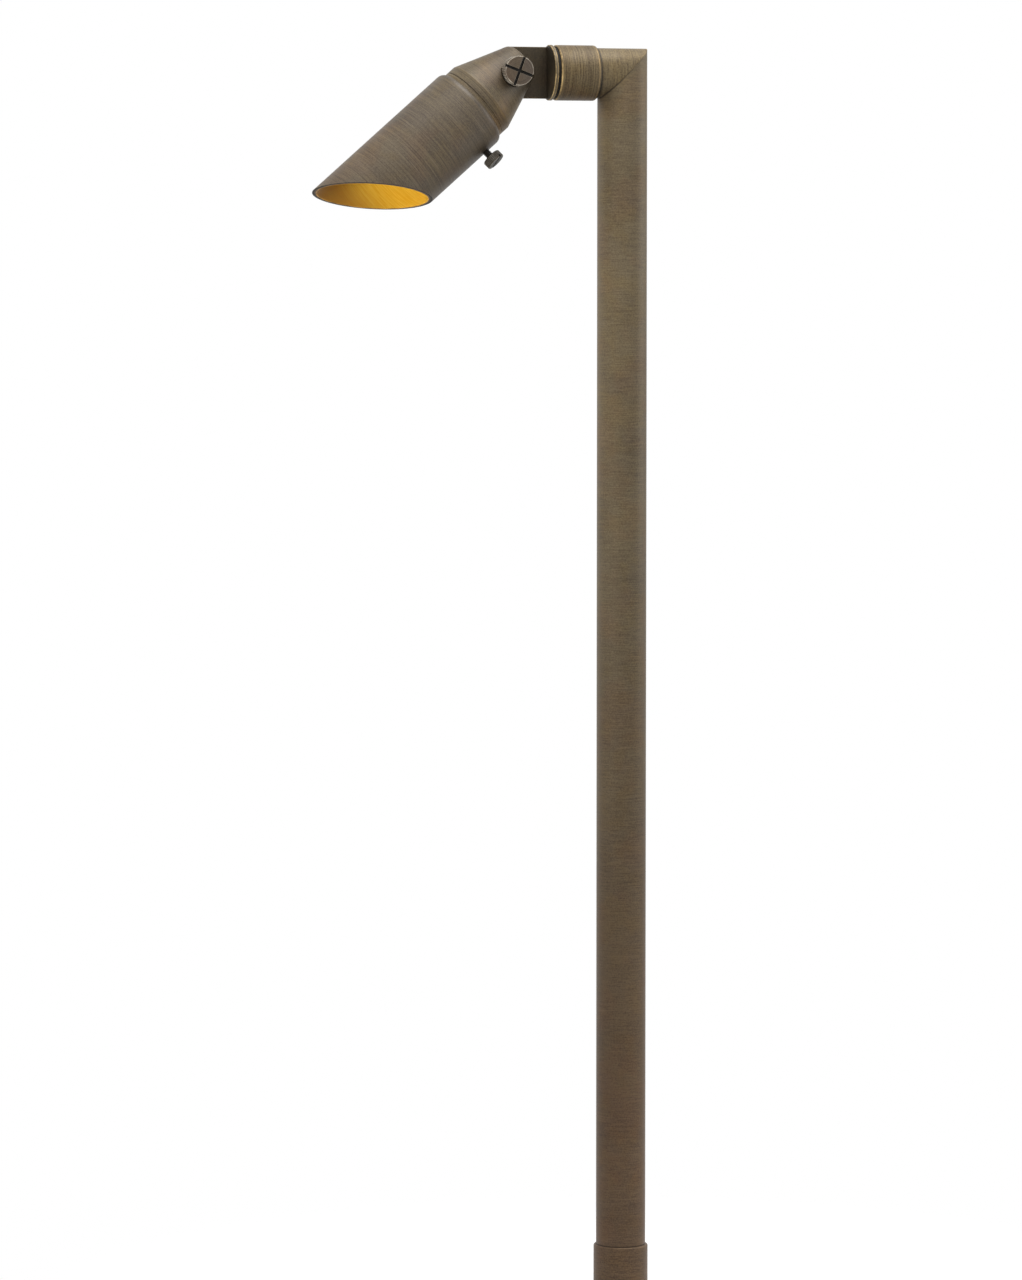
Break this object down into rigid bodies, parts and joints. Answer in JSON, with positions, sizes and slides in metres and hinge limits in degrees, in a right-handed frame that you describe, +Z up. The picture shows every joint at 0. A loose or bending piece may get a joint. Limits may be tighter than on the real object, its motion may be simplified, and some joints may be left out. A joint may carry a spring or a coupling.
{
  "type": "accent spotlight on a post",
  "caption": "Low-voltage garden accent spotlight: a slant-cut cowl on a tilting head, carried by a swivel knuckle and a short arm at the top of a tall tube post.",
  "frame": {"origin": "centre of the base coupling's lower face, at the mouth of its stake thread", "axes": "+Z up the stem, the arm points along -X, the head's tilt axis is along Y and the knob is on -Y"},
  "size_m": [0.2189, 0.0554, 0.8076],
  "materials": {
    "bronze": "brushed bronze patina",
    "dark_bronze": "dark oiled bronze",
    "rubber": "matt",
    "lead_insulation": "satin",
    "steel": "plated",
    "ceramic": "unglazed",
    "reflector": "faceted mirror coat",
    "clear_glass": "polished",
    "silicone": "matt"
  },
  "bodies": {
    "post": {"base_coupling": "bronze", "lead_bushing": "rubber", "stem_tube": "bronze", "arm_tube": "bronze", "arm_collar": "bronze", "collar_set_screw": "dark_bronze", "post_leads": "lead_insulation"},
    "knuckle": {"knuckle_bracket": "dark_bronze", "swivel_gasket": "rubber", "lock_nut": "bronze", "knuckle_seal": "rubber", "knuckle_leads": "lead_insulation"},
    "pivot_knob": {"pivot_screw": "dark_bronze"},
    "head": {"head_body": "bronze", "body_o_rings": "rubber", "socket_bracket": "steel", "socket_screws": "steel", "lamp_socket": "ceramic", "head_leads": "lead_insulation", "lamp_base": "ceramic", "lamp_pins": "steel", "lamp_reflector": "reflector", "lamp_capsule": "clear_glass", "lamp_front_glass": "clear_glass"},
    "lens_pack": {"lens": "clear_glass", "lens_gasket": "silicone"},
    "cowl_shade": {"cowl": "bronze"},
    "cowl_screw": {"cowl_thumbscrew": "dark_bronze"}
  },
  "joints": [
    {"name": "knuckle_swivel", "type": "hinge", "parent": "post", "child": "knuckle", "pos_m": [-0.0412, 0, 0.79], "axis": [-1, 0, 0], "range_deg": [-170, 170]},
    {"name": "head_tilt", "type": "hinge", "parent": "knuckle", "child": "head", "pos_m": [-0.075, 0, 0.79], "axis": [0, 1, 0], "range_deg": [-48, 131]},
    {"name": "pivot_screw_turn", "type": "hinge", "parent": "knuckle", "child": "pivot_knob", "pos_m": [-0.075, 0, 0.79], "axis": [0, -1, 0], "range_deg": [0, 720]},
    {"name": "cowl_slide", "type": "slide", "parent": "head", "child": "lens_pack", "axis": [-0.7507, 0, -0.6607], "range_m": [0, 0.03]},
    {"name": "cowl_turn", "type": "hinge", "parent": "lens_pack", "child": "cowl_shade", "pos_m": [-0.075, 0, 0.79], "axis": [-0.7507, 0, -0.6607], "continuous": true},
    {"name": "thumbscrew_turn", "type": "hinge", "parent": "cowl_shade", "child": "cowl_screw", "pos_m": [-0.09018, -0.01241, 0.73634], "axis": [0.6112, -0.3795, -0.6945], "range_deg": [0, 720]}
  ]
}
